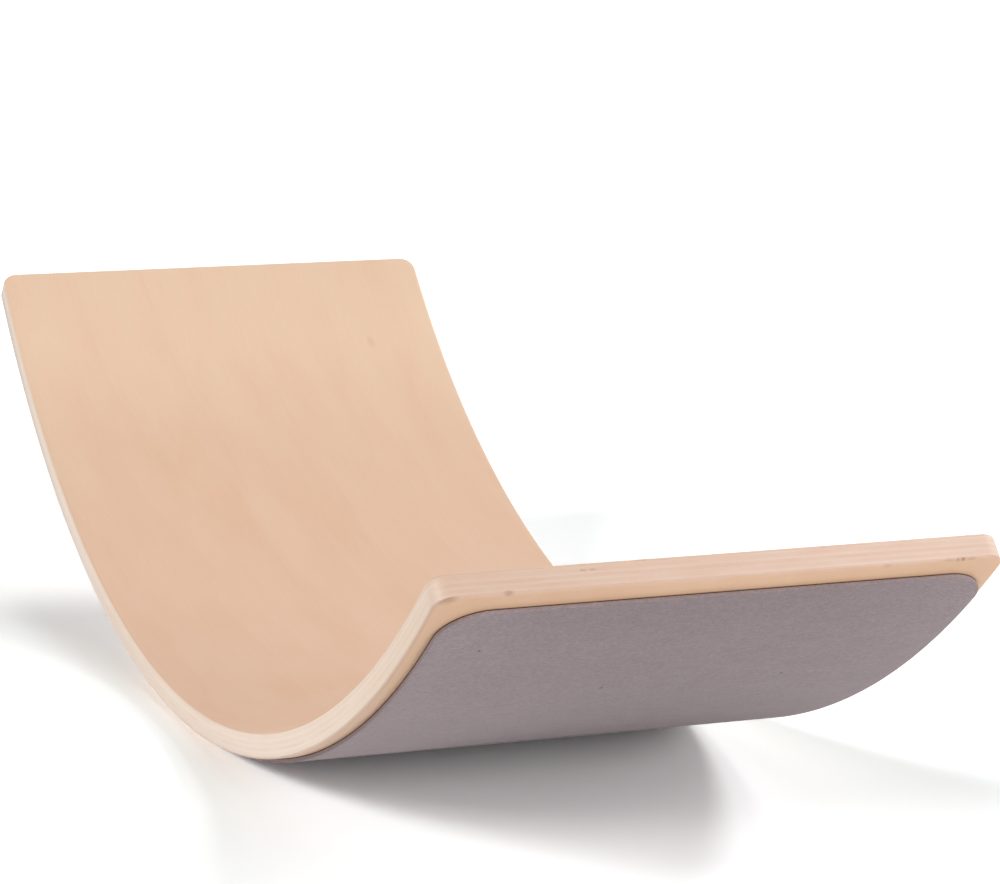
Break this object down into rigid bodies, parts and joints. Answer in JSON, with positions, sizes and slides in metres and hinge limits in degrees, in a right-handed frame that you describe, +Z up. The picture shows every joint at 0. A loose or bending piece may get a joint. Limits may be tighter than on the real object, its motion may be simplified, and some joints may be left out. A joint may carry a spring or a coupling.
{
  "type": "wooden balance board",
  "caption": "Curved plywood rocker board with rounded corners and a felt pad glued to its outer face, to stand, sit or rock on.",
  "frame": {"origin": "under the middle of the board, on the strip of felt that it rests on, hollow side up", "axes": "+X along the board, +Y across its width, +Z up, out of the hollow"},
  "size_m": [0.9006, 0.3, 0.1941],
  "materials": {
    "face_veneer": "clear matt lacquer, pale warm beech or birch",
    "ply_long_grain": "sanded and lacquered ply edge, long grain",
    "ply_cross_grain": "sanded and lacquered ply edge, end grain",
    "adhesive_film": "dark brown film edge",
    "felt": "pressed grey felt with a slight violet cast"
  },
  "bodies": {
    "root": {"inner_face_veneer": "face_veneer", "core_veneer_1": "ply_cross_grain", "core_veneer_2": "ply_long_grain", "core_veneer_3": "ply_cross_grain", "core_veneer_4": "ply_long_grain", "core_veneer_5": "ply_cross_grain", "core_veneer_6": "ply_long_grain", "core_veneer_7": "ply_cross_grain", "outer_face_veneer": "face_veneer", "adhesive_film": "adhesive_film", "felt_pad": "felt"}
  },
  "joints": []
}
